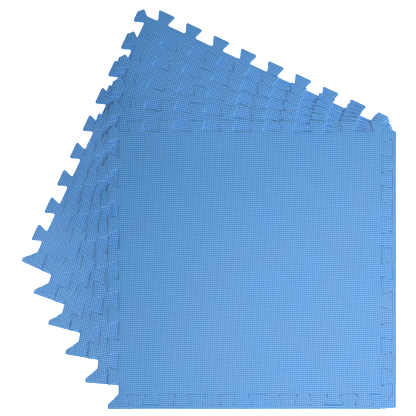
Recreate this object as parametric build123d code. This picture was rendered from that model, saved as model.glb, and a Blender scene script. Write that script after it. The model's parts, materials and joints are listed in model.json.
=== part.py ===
"""Six interlocking foam blocking mats, fanned out in a stack about one corner.

Every mat is a square foam tile with dovetail tabs on its four sides. Two border strips are locked
onto it: the side border, which also carries the corner foot, and the bottom border, which ends in
a point. The stack stands on z = 0, mat 1 is on top with its sides along X and Y, and each mat
below is turned one more step clockwise, seen from above.
"""
import os

from build123d import *

# Driving dimensions: millimetres and degrees.
mat_count = 6
tile_coverage = 304.8  # side of the floor area that one mat covers, 12 in
pitches_per_side = 9  # tab pitches along one side
mat_thickness = 10.0
tab_depth = 12.2
tab_head_share = 0.636  # width of a tab's head over the pitch, the neck takes the rest
first_tab_share = 0.75  # from the covered area's corner to the first tab's centre, over the pitch
strip_width = 4.9  # solid strip of a border, outside the tabs
tip_radius = 1.9  # rounding of the corners that stick out
root_radius = 1.5  # rounding of the corners that go in
rim_radius = 1.2  # rounding of a border's outer corners
toe_radius = 2.6  # rounding of the corner foot's outermost corner
toe_draw = 1.2  # the foot's outer edge is this much shorter at its toe
cut_gap = 0.1  # foam that the die takes off each cut face
stack_gap = 0.2  # clear height between two mats
fan_step = 5.0  # turn from one mat to the next
fan_pivot_drop = 6.0  # fan centre on the outer edge, below the side border's upper end

# Derived dimensions.
tab_pitch = tile_coverage / pitches_per_side
base_side = tile_coverage - tab_depth  # side of the square inside the tabs
half_base = base_side / 2
half_head = tab_head_share * tab_pitch / 2
half_neck = (1 - tab_head_share) * tab_pitch / 2
border_width = tab_depth + strip_width
first_tab = first_tab_share * tab_pitch - tab_depth / 2  # centre of the first tab from the base corner
corner_tab = first_tab + (pitches_per_side - 1) * tab_pitch
full_tab_centres = [first_tab + i * tab_pitch for i in range(pitches_per_side - 1)]
layer_height = mat_thickness + stack_gap
junction_middle = base_side + tab_depth / 2  # where the cuts meet in a corner square


def on_side(points, turns):
    """Place points (along the side, outward) on a side, counted in clockwise quarter turns."""
    placed = []
    for along, outward in points:
        point = Vector(along - half_base, half_base + outward)
        placed.append(point.rotate(Axis.Z, -90 * turns))
    return placed


def tab_points(centre):
    """Corners of one dovetail tab, from its near root to its far root."""
    return [
        (centre - half_neck, 0),
        (centre - half_head, tab_depth),
        (centre + half_head, tab_depth),
        (centre + half_neck, 0),
    ]


def tabbed_edge():
    """Corners of one side of the tile, from one base corner to the next."""
    points = []
    for centre in full_tab_centres:
        points += tab_points(centre)
    points += tab_points(corner_tab)[:2]
    points += [(base_side, tab_depth), (junction_middle, tab_depth / 2), (base_side, 0)]
    return points


def cut_face(corners):
    """Flat face inside the corners, less the foam that the die takes off."""
    return offset(make_face(Polyline(corners, close=True)), -cut_gap, kind=Kind.INTERSECTION)


def outside_base(vertex):
    """How far a vertex lies outside the tile's base square."""
    return max(abs(vertex.X), abs(vertex.Y)) - half_base


def is_toe(vertex):
    """Whether a vertex is the outermost corner of a corner foot."""
    return min(abs(vertex.X), abs(vertex.Y)) - half_base > tab_depth + strip_width / 2


def tile_sketch():
    """Outline of the tile, with its tab tips and roots rounded."""
    corners = []
    for turns in range(4):
        corners += on_side(tabbed_edge(), turns)
    face = cut_face(corners)
    tips = [v for v in face.vertices() if outside_base(v) > tab_depth / 4]
    face = fillet(tips, tip_radius)
    roots = [v for v in face.vertices() if outside_base(v) < tab_depth / 8]
    return fillet(roots, root_radius)


def border_sketch(turns, end_points):
    """Outline of a border on one side, where end_points close its far end."""
    edge = tabbed_edge()
    mating = edge[: edge.index((base_side, tab_depth)) + 1]
    near_end = [(0, border_width), (0, tab_depth), (-tab_depth / 2, tab_depth / 2), (0, 0)]
    face = cut_face(on_side(near_end + mating + end_points, turns))
    tips = [v for v in face.vertices() if outside_base(v) < tab_depth / 4]
    face = fillet(tips, tip_radius)
    rims = [v for v in face.vertices() if outside_base(v) > border_width - rim_radius]
    face = fillet([v for v in rims if not is_toe(v)], rim_radius)
    reach = (tab_depth / 4, tab_depth + strip_width / 2)
    roots = [v for v in face.vertices() if reach[0] < outside_base(v) < reach[1]]
    return fillet(roots, root_radius)


def side_border_sketch():
    """Side border: its far end is the corner foot, square to both borders."""
    foot = base_side + border_width
    end_points = [(base_side + tab_depth, 0), (foot, 0), (foot - toe_draw, border_width)]
    face = border_sketch(1, end_points)
    toe = [v for v in face.vertices() if is_toe(v)]
    return fillet(toe, toe_radius)


def bottom_border_sketch():
    """Bottom border: its far end runs out to a point."""
    point = base_side + tab_depth
    end_points = [(junction_middle, tab_depth / 2), (point, tab_depth), (point, border_width)]
    return border_sketch(2, end_points)


def fan_location(layer):
    """Place of a mat, where layer 0 is the top one."""
    pivot = Pos(half_base + border_width, half_base - fan_pivot_drop, 0)
    height = Pos(0, 0, (mat_count - 1 - layer) * layer_height)
    return height * pivot * Rot(0, 0, -fan_step * layer) * pivot.inverse()


def main():
    pieces = {
        "tile": extrude(tile_sketch(), mat_thickness).solid(),
        "side_border": extrude(side_border_sketch(), mat_thickness).solid(),
        "bottom_border": extrude(bottom_border_sketch(), mat_thickness).solid(),
    }
    nodes = {}
    for layer in range(mat_count):
        for name, solid in pieces.items():
            nodes[f"mat_{layer + 1}_{name}"] = fan_location(layer) * solid
    box = Compound(list(nodes.values())).bounding_box()
    centre = Pos(-box.center().X, -box.center().Y, 0)
    os.makedirs("parts", exist_ok=True)
    for name, solid in nodes.items():
        export_step(centre * solid, f"parts/{name}.step")
    print("size", box.size, "tab pitch", tab_pitch)
    print("centre of the top tile", centre.position)


main()
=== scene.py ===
"""Six blue foam blocking mats, fanned out on a white table and seen from straight above."""

import json
import math

import bpy
import numpy as np
from mathutils import Matrix, Vector
from mathutils.geometry import delaunay_2d_cdt


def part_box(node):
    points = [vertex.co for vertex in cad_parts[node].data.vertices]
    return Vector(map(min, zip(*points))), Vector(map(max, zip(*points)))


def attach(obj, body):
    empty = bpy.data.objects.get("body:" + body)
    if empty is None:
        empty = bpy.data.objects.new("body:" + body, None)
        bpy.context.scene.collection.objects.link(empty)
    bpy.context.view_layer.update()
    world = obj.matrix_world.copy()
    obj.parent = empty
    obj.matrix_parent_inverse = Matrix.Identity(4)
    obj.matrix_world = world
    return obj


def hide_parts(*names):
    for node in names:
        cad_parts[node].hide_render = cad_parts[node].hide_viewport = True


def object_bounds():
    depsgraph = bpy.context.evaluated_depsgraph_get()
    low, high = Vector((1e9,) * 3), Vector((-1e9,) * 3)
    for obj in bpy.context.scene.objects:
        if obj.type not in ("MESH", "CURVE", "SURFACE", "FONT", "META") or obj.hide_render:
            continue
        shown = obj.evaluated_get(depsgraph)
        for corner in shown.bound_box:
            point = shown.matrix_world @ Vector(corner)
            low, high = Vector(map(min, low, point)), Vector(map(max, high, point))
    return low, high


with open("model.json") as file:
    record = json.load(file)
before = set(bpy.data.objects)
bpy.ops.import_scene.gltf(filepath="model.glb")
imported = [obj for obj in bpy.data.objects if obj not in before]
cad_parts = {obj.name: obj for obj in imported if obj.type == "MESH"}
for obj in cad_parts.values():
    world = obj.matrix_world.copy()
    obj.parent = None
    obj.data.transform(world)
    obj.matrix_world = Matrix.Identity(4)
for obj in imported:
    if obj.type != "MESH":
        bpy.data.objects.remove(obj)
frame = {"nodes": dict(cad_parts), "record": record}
cad_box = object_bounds()

MM = 0.001

# The fan, as the frame has it.
MAT_COUNT = 6
FAN_STEP = math.radians(5)
KINDS = ("tile", "side_border", "bottom_border")

# Shape of a die-cut edge.
FLAT_TOLERANCE = 0.001 * MM  # points this near the top lie on a node's upper face
SAME_POINT_DIGITS = 7  # decimals of a metre that tell two points apart
OUTLINE_TOLERANCE = 0.012 * MM  # how far the outline may leave out the CAD's points
TOP_ROLL = (0.8 * MM, 0.6 * MM)  # how far a free upper edge rolls over, inwards and down
BOTTOM_ROLL = (0.35 * MM, 0.35 * MM)
LOCKED_ROLL = 0.12  # share of the roll left where two pieces are locked together
LOCKED_WITHIN = 1.4 * MM  # pieces this near are locked together
WALL_HOLLOW = 0.12 * MM  # depth of a free cut wall's hollow at half height
LOCKED_BULGE = 0.495  # share of the gap that a locked wall bulges into where it faces it
ROUNDING_LIMIT = 0.75  # share of a small corner's radius that its roll may take
ROUNDING_CHANGE = 0.3  # most that the roll's share changes over a length equal to its reach
WALL_RINGS = 6
ROLL_RINGS = 4
FILL_SPACING = 6 * MM  # between the points inside a flat face
FILL_MARGIN = FILL_SPACING / 3  # from those points to the outline
MERGE_DISTANCE = 1e-9  # between points that the triangulation takes for one
NO_GAP = 1e-9  # metres, a gap this small has no direction
SWELL = 0.12 * MM  # slow unevenness of the upper face
SWELL_WAVES = (41 * MM, 53 * MM, 27 * MM)  # across, along and aslant

# Basket-weave grain pressed into the upper and lower face.
GRAIN_ACROSS = 2.095 * MM
GRAIN_ALONG = 2.177 * MM
GRAIN_TURN = {"tile": math.radians(1.4), "border": math.radians(0.9)}
GRAIN_WANDER = 2.5 * MM  # slow drift of the grain over a mat
GRAIN_DEPTH = (1.0, 1.35)  # of the top mat, and of the crisper mats below it; it deepens both the relief and the painted shade in the grooves
GRAIN_MIDDLE = 0.4  # level between groove and pip that the depth leaves alone

DRIFT_SCALE = 4.0  # these four are noise repeats to the metre
BLOTCH_SCALE = 22.0
POWDER_SCALE = 2600.0
CELL_SCALE = 1900.0
POWDER_HEIGHT = 0.12  # over a pip's height, and so is the next
CELL_HEIGHT = 0.35
BUMP_DEPTH = 0.2 * MM

# Foam colour on the grain's pips, and in its grooves a darker colour that is painted shade
PIP_COLOUR = (0.096, 0.300, 0.61, 1)
GROOVE_SHADE_COLOUR = (0.018, 0.145, 0.37, 1)
WALL_COLOUR = (0.045, 0.19, 0.48, 1)
# Painted highlight: the rolled edges are coloured lighter than the faces and the cut walls
RIM_HIGHLIGHT_COLOUR = (0.125, 0.325, 0.595, 1)
PIP_ROUGHNESS = 0.33
GROOVE_ROUGHNESS = 0.8
WALL_ROUGHNESS = 0.62
SPECULAR = 0.5  # of the faces, and none deep in the cut walls
FOAM_IOR = 1.48
TONE_RANGE = (0.97, 1.03)  # brightness of the slow blotches

WHITE = (1, 1, 1, 1)
TABLE_COLOUR = (0.93, 0.93, 0.93, 1)
TABLE_GLOW = 0.6  # so that the table stays white between the mats

# ---------------------------------------------------------------- geometry


def mat_frame(number):
    """Matrix from a mat's own axes, centred on its tile, to the shared frame."""
    low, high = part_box(f"mat_{number}_tile")
    centre = (low + high) / 2
    turn = Matrix.Rotation(-FAN_STEP * (number - 1), 4, "Z")
    return Matrix.Translation((centre.x, centre.y, low.z)) @ turn


def upper_outline(node, to_local):
    """Corners of a node's upper face in order, anticlockwise, in its mat's own axes."""
    mesh = frame["nodes"][node].data
    top = max(vertex.co.z for vertex in mesh.vertices)
    keys = {}
    merged = []
    for vertex in mesh.vertices:
        key = tuple(round(c, SAME_POINT_DIGITS) for c in vertex.co)
        merged.append(keys.setdefault(key, len(keys)))
    points = list(keys)
    following = {}
    for polygon in mesh.polygons:
        if all(abs(mesh.vertices[i].co.z - top) < FLAT_TOLERANCE for i in polygon.vertices):
            corners = [merged[i] for i in polygon.vertices]
            for a, b in zip(corners, corners[1:] + corners[:1]):
                if following.get(b) and a in following[b]:
                    following[b].remove(a)
                else:
                    following.setdefault(a, []).append(b)
    start = next(a for a, ends in following.items() if ends)
    loop = [start]
    while True:
        after = following[loop[-1]][0]
        if after == start:
            break
        loop.append(after)
    local = [to_local @ Vector(points[i]) for i in loop]
    return thinned(np.array([(p.x, p.y) for p in local]))


def thinned(loop):
    """The loop without the points that its shape doesn't need."""
    corner = int(np.argmax(loop[:, 0] + loop[:, 1]))
    loop = np.roll(loop, -corner, axis=0)
    closed = np.vstack([loop, loop[:1]])
    kept = {0, len(loop) // 2}
    spans = [(0, len(loop) // 2), (len(loop) // 2, len(loop))]
    while spans:
        first, last = spans.pop()
        along = closed[last] - closed[first]
        along /= np.linalg.norm(along)
        away = closed[first + 1:last] - closed[first]
        off = np.abs(away[:, 0] * along[1] - away[:, 1] * along[0])
        if len(off) and off.max() > OUTLINE_TOLERANCE:
            middle = first + 1 + int(off.argmax())
            kept.add(middle)
            spans += [(first, middle), (middle, last)]
    return loop[sorted(kept)]


def steps(loop):
    """Directions and lengths of the sides that start at each point of a loop."""
    sides = np.roll(loop, -1, axis=0) - loop
    lengths = np.linalg.norm(sides, axis=1)
    return sides / lengths[:, None], lengths


def rounding_share(loop, reach):
    """Share of a reach that each point can move inwards, less than 1 at small outer corners."""
    sides, lengths = steps(loop)
    before = np.roll(sides, 1, axis=0)
    turn = np.arcsin(np.clip(before[:, 0] * sides[:, 1] - before[:, 1] * sides[:, 0], -1, 1))
    radius = np.minimum(lengths, np.roll(lengths, 1)) / np.maximum(turn, 1e-6)
    share = np.minimum(1, ROUNDING_LIMIT * radius / reach)
    for direction, gaps in ((1, lengths / reach), (-1, np.roll(lengths, 1) / reach)):
        for _ in range(len(loop) // 4):
            share = np.minimum(share, np.roll(share + ROUNDING_CHANGE * gaps, direction))
    return share


def inset(loop, distance):
    """The loop moved inwards by the distance at each point, along its mitre."""
    sides, _ = steps(loop)
    inward = np.stack([-sides[:, 1], sides[:, 0]], axis=1)
    mitre = inward + np.roll(inward, 1, axis=0)
    mitre /= np.linalg.norm(mitre, axis=1)[:, None]
    stretch = np.sum(mitre * inward, axis=1)
    return loop + mitre * (distance / stretch)[:, None]


def edge_profile(thickness):
    """(roll, hollow share, height, wall share) of each ring round a piece, from the bottom up."""
    rings = []
    reach, rise = BOTTOM_ROLL
    for i in range(ROLL_RINGS):
        a = math.pi / 2 * i / ROLL_RINGS
        rings.append((reach * (1 - math.sin(a)), 0, rise * (1 - math.cos(a)), i / ROLL_RINGS))
    reach, drop = TOP_ROLL
    low, high = BOTTOM_ROLL[1], thickness - drop
    for i in range(WALL_RINGS + 1):
        share = i / WALL_RINGS
        rings.append((0, math.sin(math.pi * share) ** 2, low + (high - low) * share, 1))
    for i in range(1, ROLL_RINGS + 1):
        a = math.pi / 2 * i / ROLL_RINGS
        rings.append((reach * (1 - math.cos(a)), 0, high + drop * math.sin(a), 1 - i / ROLL_RINGS))
    return rings


def gap_to(loop, neighbours):
    """Distance from each point of a loop to the nearest neighbouring outline, and how squarely the
    loop faces it there: 1 straight on, 0 sideways or away.
    """
    sides, _ = steps(loop)
    outward = np.stack([sides[:, 1], -sides[:, 0]], axis=1)
    outward += np.roll(outward, 1, axis=0)
    outward /= np.linalg.norm(outward, axis=1)[:, None]
    nearest = np.full(len(loop), np.inf)
    facing = np.zeros(len(loop))
    for other in neighbours:
        sides, lengths = steps(other)
        away = loop[:, None] - other[None]
        along = np.clip(np.sum(away * sides[None], axis=2), 0, lengths[None])
        across = along[..., None] * sides[None] - away
        gaps = np.linalg.norm(across, axis=2)
        closest = gaps.argmin(axis=1)
        rows = np.arange(len(loop))
        gap = gaps[rows, closest]
        cosine = np.sum(across[rows, closest] * outward, axis=1) / np.maximum(gap, NO_GAP)
        nearer = gap < nearest
        nearest[nearer] = gap[nearer]
        facing[nearer] = np.clip(cosine[nearer], 0, 1)
    return nearest, facing


def fill(loop):
    """Points and triangles of the flat face inside a loop, the loop's own points first."""
    low, high = loop.min(axis=0), loop.max(axis=0)
    counts = np.maximum(1, np.round((high - low) / FILL_SPACING)).astype(int)
    grid = [
        (x, y)
        for x in np.linspace(low[0], high[0], counts[0] + 1)[1:-1]
        for y in np.linspace(low[1], high[1], counts[1] + 1)[1:-1]
    ]
    ends = np.roll(loop, -1, axis=0)
    kept = []
    for x, y in grid:
        to_edge = np.min(np.hypot(loop[:, 0] - x, loop[:, 1] - y))
        rising = (loop[:, 1] > y) != (ends[:, 1] > y)
        a, b = loop[rising], ends[rising]
        hits = a[:, 0] + (y - a[:, 1]) / (b[:, 1] - a[:, 1]) * (b[:, 0] - a[:, 0]) > x
        if hits.sum() % 2 and to_edge > FILL_MARGIN:
            kept.append((x, y))
    count = len(loop)
    points = [Vector(p) for p in loop] + [Vector(p) for p in kept]
    edges = [(i, (i + 1) % count) for i in range(count)]
    outline = [list(range(count))]
    verts, _, faces, origins, _, _ = delaunay_2d_cdt(points, edges, outline, 1, MERGE_DISTANCE)
    back = [o[0] if o else None for o in origins]
    assert None not in back and len(verts) == len(points)
    return np.array(points), [[back[i] for i in face] for face in faces]


def swell(x, y, seed):
    """Slow unevenness of the upper face at a point, never above the face."""
    phase = 1.7 * seed
    across, along, aslant = SWELL_WAVES
    wave = math.sin(x / across + phase) * math.sin(y / along + 2.1 * phase)
    wave += 0.6 * math.sin((x + y) / aslant - phase)
    return -SWELL * (0.5 + 0.3 * wave)


def foam_mesh(name, outline, neighbours, thickness, seed):
    """Closed mesh of one cut piece of foam, with its share of cut wall and its depth of grain."""
    rings = edge_profile(thickness)
    count = len(outline)
    gap, facing = gap_to(outline, neighbours)
    free = np.where(gap < LOCKED_WITHIN, LOCKED_ROLL, 1)
    hollow = np.where(gap < LOCKED_WITHIN, -LOCKED_BULGE * gap * facing, WALL_HOLLOW)
    room = rounding_share(outline, TOP_ROLL[0]) * free
    top = rings[-1][2]
    roll_start = top - TOP_ROLL[1]
    coords, wall, faces = [], [], []
    for roll, hollow_share, height, wall_share in rings:
        heights = np.full(count, height)
        if height > roll_start:
            heights = top - (top - height) * free
        for (x, y), z in zip(inset(outline, roll * room + hollow_share * hollow), heights):
            coords.append((x, y, z))
            wall.append(wall_share)
    for ring in range(len(rings) - 1):
        start = ring * count
        for i in range(count):
            j = (i + 1) % count
            faces.append((start + i, start + j, start + count + j, start + count + i))
    top_start = (len(rings) - 1) * count
    for level, start, flip in ((0, 0, True), (-1, top_start, False)):
        loop = inset(outline, rings[level][0] * room)
        points, triangles = fill(loop)
        first_new = len(coords)
        for x, y in points[count:]:
            coords.append((x, y, rings[level][2]))
            wall.append(0)
        numbers = list(range(start, start + count)) + list(range(first_new, len(coords)))
        for triangle in triangles:
            corners = [numbers[i] for i in triangle]
            faces.append(tuple(reversed(corners)) if flip else tuple(corners))
    half = thickness / 2
    for i, (x, y, z) in enumerate(coords):
        if z > half:
            coords[i] = (x, y, z + swell(x, y, seed) * (z - half) / (top - half))
    mesh = bpy.data.meshes.new(name)
    mesh.from_pydata(coords, [], faces)
    depth = GRAIN_DEPTH[0 if seed == 1 else 1]
    for attribute, values in (("cut_wall", wall), ("grain_depth", [depth] * len(wall))):
        mesh.attributes.new(attribute, "FLOAT", "POINT").data.foreach_set("value", values)
    mesh.shade_smooth()
    mesh.validate()
    return mesh


# ---------------------------------------------------------------- materials


class Nodes:
    """Small helper that adds and links shader nodes."""

    def __init__(self, material):
        material.use_nodes = True
        self.tree = material.node_tree
        self.tree.nodes.clear()

    def add(self, kind, settings=None, **inputs):
        node = self.tree.nodes.new(kind)
        for key, value in (settings or {}).items():
            setattr(node, key, value)
        for key, value in inputs.items():
            name = int(key[1:]) if key[0] == "i" and key[1:].isdigit() else key.replace("_", " ")
            socket = node.inputs[name]
            if isinstance(value, bpy.types.NodeSocket):
                self.tree.links.new(value, socket)
            else:
                socket.default_value = value
        return node

    def math(self, operation, a, b=0.0, c=0.0):
        return self.add("ShaderNodeMath", {"operation": operation}, i0=a, i1=b, i2=c).outputs[0]

    def mix(self, share, a, b):
        node = self.add("ShaderNodeMix", {"data_type": "RGBA", "clamp_factor": False})
        sockets = [s for s in node.inputs if s.enabled]
        for socket, value in zip(sockets, (share, a, b)):
            if isinstance(value, bpy.types.NodeSocket):
                self.tree.links.new(value, socket)
            else:
                socket.default_value = value
        return next(s for s in node.outputs if s.enabled)

    def remap(self, value, low, high, to_low, to_high, smooth=False):
        kind = "SMOOTHSTEP" if smooth else "LINEAR"
        node = self.add("ShaderNodeMapRange", {"interpolation_type": kind}, i0=value, i1=low, i2=high,
                        i3=to_low, i4=to_high)
        return node.outputs[0]


def foam_material(name, grain_turn, shift):
    """Blue foam: basket-weave grain on the flat faces, with painted shade in its grooves and a
    painted highlight on the rolled edges, and open cells on the cut walls.
    """
    material = bpy.data.materials.new(name)
    n = Nodes(material)
    place = n.add("ShaderNodeTexCoord").outputs["Object"]
    wall = n.add("ShaderNodeAttribute", {"attribute_name": "cut_wall"}).outputs["Fac"]

    drift = n.add("ShaderNodeTexNoise", Vector=place, Scale=DRIFT_SCALE, Detail=0.0).outputs["Color"]
    drift = n.add("ShaderNodeVectorMath", {"operation": "MULTIPLY_ADD"}, i0=drift,
                  i1=(GRAIN_WANDER,) * 3, i2=(shift, 0, 0)).outputs[0]
    grain_place = n.add("ShaderNodeVectorMath", i0=place, i1=drift).outputs[0]
    grain_place = n.add("ShaderNodeVectorRotate", {"rotation_type": "Z_AXIS"}, Vector=grain_place,
                        Angle=grain_turn).outputs[0]
    axes = n.add("ShaderNodeSeparateXYZ", Vector=grain_place)
    sin_across = n.math("SINE", n.math("MULTIPLY", axes.outputs["X"], math.pi / GRAIN_ACROSS))
    sin_along = n.math("SINE", n.math("MULTIPLY", axes.outputs["Y"], math.pi / GRAIN_ALONG))
    turned = n.remap(n.math("MULTIPLY", sin_across, sin_along), -0.25, 0.25, 0.0, 1.0, smooth=True)
    narrow = n.remap(turned, 0.0, 1.0, 1.6, 0.8)
    broad = n.remap(turned, 0.0, 1.0, 0.8, 1.6)
    pip = n.math("MULTIPLY", n.math("POWER", n.math("ABSOLUTE", sin_across), narrow),
                 n.math("POWER", n.math("ABSOLUTE", sin_along), broad))
    depth = n.add("ShaderNodeAttribute", {"attribute_name": "grain_depth"}).outputs["Fac"]
    pip = n.math("MULTIPLY_ADD", n.math("SUBTRACT", pip, GRAIN_MIDDLE), depth, GRAIN_MIDDLE)

    noise = "ShaderNodeTexNoise"
    slow = n.add(noise, Vector=place, Scale=BLOTCH_SCALE, Detail=3.0, Roughness=0.55).outputs["Fac"]
    fine = n.add(noise, Vector=place, Scale=POWDER_SCALE, Detail=2.0, Roughness=0.6).outputs["Fac"]
    cells = n.add("ShaderNodeTexVoronoi", Vector=place, Scale=CELL_SCALE).outputs["Distance"]

    flat = n.remap(wall, 0.0, 0.35, 1.0, 0.0, smooth=True)
    deep = n.remap(wall, 0.75, 1.0, 0.0, 1.0, smooth=True)
    # Painted highlight on the rolled edges, fading into the cut wall's own colour deep down
    rim_highlight = n.mix(deep, RIM_HIGHLIGHT_COLOUR, WALL_COLOUR)
    # Painted shade: the grain's grooves are coloured darker than its pips
    surface = n.mix(flat, rim_highlight, n.mix(pip, GROOVE_SHADE_COLOUR, PIP_COLOUR))
    tone = n.add("ShaderNodeHueSaturation", Color=surface, Value=n.remap(slow, 0.3, 0.7, *TONE_RANGE))

    grain_height = n.math("MULTIPLY", pip, flat)
    cell_height = n.math("MULTIPLY", n.math("MULTIPLY", cells, wall), CELL_HEIGHT)
    height = n.math("ADD", n.math("MULTIPLY_ADD", fine, POWDER_HEIGHT, grain_height), cell_height)
    bump = n.add("ShaderNodeBump", Strength=0.6, Distance=BUMP_DEPTH, Height=height).outputs["Normal"]
    grain_rough = n.remap(pip, 0.2, 1.0, GROOVE_ROUGHNESS, PIP_ROUGHNESS)
    over_wall = n.math("SUBTRACT", grain_rough, WALL_ROUGHNESS)
    rough = n.math("MULTIPLY_ADD", over_wall, flat, WALL_ROUGHNESS)
    rough = n.math("MULTIPLY_ADD", slow, 0.1, rough)

    specular = n.remap(wall, 0.25, 1.0, SPECULAR, 0.0, smooth=True)
    shader = n.add("ShaderNodeBsdfPrincipled", Base_Color=tone.outputs[0], Roughness=rough,
                   Normal=bump, Specular_IOR_Level=specular, IOR=FOAM_IOR)
    n.add("ShaderNodeOutputMaterial", Surface=shader.outputs["BSDF"])
    return material


def table_material():
    """Plain white table top."""
    material = bpy.data.materials.new("white_table")
    n = Nodes(material)
    shader = n.add("ShaderNodeBsdfPrincipled", Base_Color=TABLE_COLOUR, Roughness=0.9,
                   Emission_Color=WHITE, Emission_Strength=TABLE_GLOW)
    n.add("ShaderNodeOutputMaterial", Surface=shader.outputs["BSDF"])
    return material


# ---------------------------------------------------------------- pieces


def body_of(node):
    """Name of the body that a node belongs to."""
    bodies = frame["record"]["behaviour"]["bodies"]
    return next(body for body, nodes in bodies.items() if node in nodes)


def make_mats():
    """One foam piece for each tile and border, in its place in the fan."""
    foams = {
        "tile": foam_material("tile_foam", GRAIN_TURN["tile"], 0),
        "border": foam_material("border_foam", GRAIN_TURN["border"], GRAIN_ACROSS / 3),
    }
    low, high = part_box("mat_1_tile")
    to_local = mat_frame(1).inverted()
    outlines = {kind: upper_outline(f"mat_1_{kind}", to_local) for kind in KINDS}
    for number in range(1, MAT_COUNT + 1):
        place = mat_frame(number)
        for kind in KINDS:
            node = f"mat_{number}_{kind}"
            neighbours = [outlines[other] for other in KINDS if other != kind]
            mesh = foam_mesh(f"foam_{node}", outlines[kind], neighbours, high.z - low.z, number)
            foam = kind.split("_")[-1]
            mesh.materials.append(foams[foam])
            piece = bpy.data.objects.new(f"foam_{node}", mesh)
            bpy.context.scene.collection.objects.link(piece)
            piece.matrix_world = place
            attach(piece, body_of(node))
            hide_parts(node)


# ---------------------------------------------------------------- setting


VIEW_WIDTH = 0.4632  # width of the picture at the top mat's height
CAMERA_HEIGHT = 6.0  # above the top mat
CAMERA_REACH = 50
VIEW_CENTRE = (-0.0012, 0.0004)


def make_camera():
    """Camera straight above the fan, far away, so that the mats stay nearly the same size."""
    data = bpy.data.cameras.new("camera")
    data.lens = data.sensor_width * CAMERA_HEIGHT / VIEW_WIDTH
    data.clip_end = CAMERA_REACH
    camera = bpy.data.objects.new("camera", data)
    camera.location = (*VIEW_CENTRE, cad_box[1].z + CAMERA_HEIGHT)
    bpy.context.scene.collection.objects.link(camera)
    bpy.context.scene.camera = camera


WORLD_STRENGTH = 0.12
TABLE_REACH = 6.0  # from the middle to each side
TABLE_DROP = 0.2 * MM  # below the bottom mat
RAKE_PLACE = (2.1, -1.5, 1.2)
RAKE = {"shadow_soft_size": 0.2, "energy": 288}

# Lamps that shine straight down: place, radius of the lamp, width of the cone in degrees, and the
# power that lights the foam itself.
POOLS = {
    "key": ((0.225, -0.185, 4.5), 0.15, 17.2, 778),
    "left": ((-0.233, -0.06, 6.0), 0.02, 2.45, 400),
    "left_back": ((-0.155, 0.07, 6.0), 0.02, 1.4, 150),
    "left_front": ((-0.165, -0.165, 6.0), 0.02, 1.6, 80),
    "back": ((-0.005, 0.187, 6.0), 0.02, 3.0, 120),
    "back_left": ((-0.09, 0.2, 6.0), 0.02, 1.9, 150),
}
# The same for the lamps that only lay a sheen on it.
SHEENS = {
    "key_sheen": ((0.355, -0.307, 2.0), 0.15, 42.8, 335),
    "left_sheen": ((-0.233, -0.06, 6.0), 0.02, 2.45, 1200),
    "left_back_sheen": ((-0.155, 0.07, 6.0), 0.02, 1.4, 600),
    "left_front_sheen": ((-0.165, -0.165, 6.0), 0.02, 1.6, 600),
    "back_sheen": ((-0.005, 0.187, 6.0), 0.02, 3.0, 420),
}


def lamp(name, kind, place, sheen=False, shadow=True, **settings):
    """Lamp that doesn't show in the picture, for the foam's colour or only for its sheen."""
    data = bpy.data.lights.new(name, kind)
    data.use_shadow = shadow
    for key, value in settings.items():
        setattr(data, key, value)
    light = bpy.data.objects.new(name, data)
    light.location = place
    light.visible_camera = False
    light.visible_diffuse = not sheen
    light.visible_glossy = sheen
    bpy.context.scene.collection.objects.link(light)


def make_setting():
    """White table, pale surroundings and soft lights."""
    world = bpy.data.worlds.new("studio")
    world.use_nodes = True
    background = world.node_tree.nodes["Background"]
    background.inputs["Color"].default_value = WHITE
    background.inputs["Strength"].default_value = WORLD_STRENGTH
    bpy.context.scene.world = world
    bpy.context.scene.view_settings.view_transform = "Standard"

    mesh = bpy.data.meshes.new("table")
    corners = [(-1, -1), (1, -1), (1, 1), (-1, 1)]
    points = [(x * TABLE_REACH, y * TABLE_REACH, -TABLE_DROP) for x, y in corners]
    mesh.from_pydata(points, [], [(0, 1, 2, 3)])
    mesh.materials.append(table_material())
    table = bpy.data.objects.new("table", mesh)
    bpy.context.scene.collection.objects.link(table)

    lamp("rake", "POINT", RAKE_PLACE, shadow=False, **RAKE)
    for pools, sheen in ((POOLS, False), (SHEENS, True)):
        for name, (place, radius, cone, power) in pools.items():
            lamp(name, "SPOT", place, sheen, shadow=not sheen, shadow_soft_size=radius,
                 spot_size=math.radians(cone), spot_blend=1.0, energy=power)


make_mats()
make_camera()
make_setting()
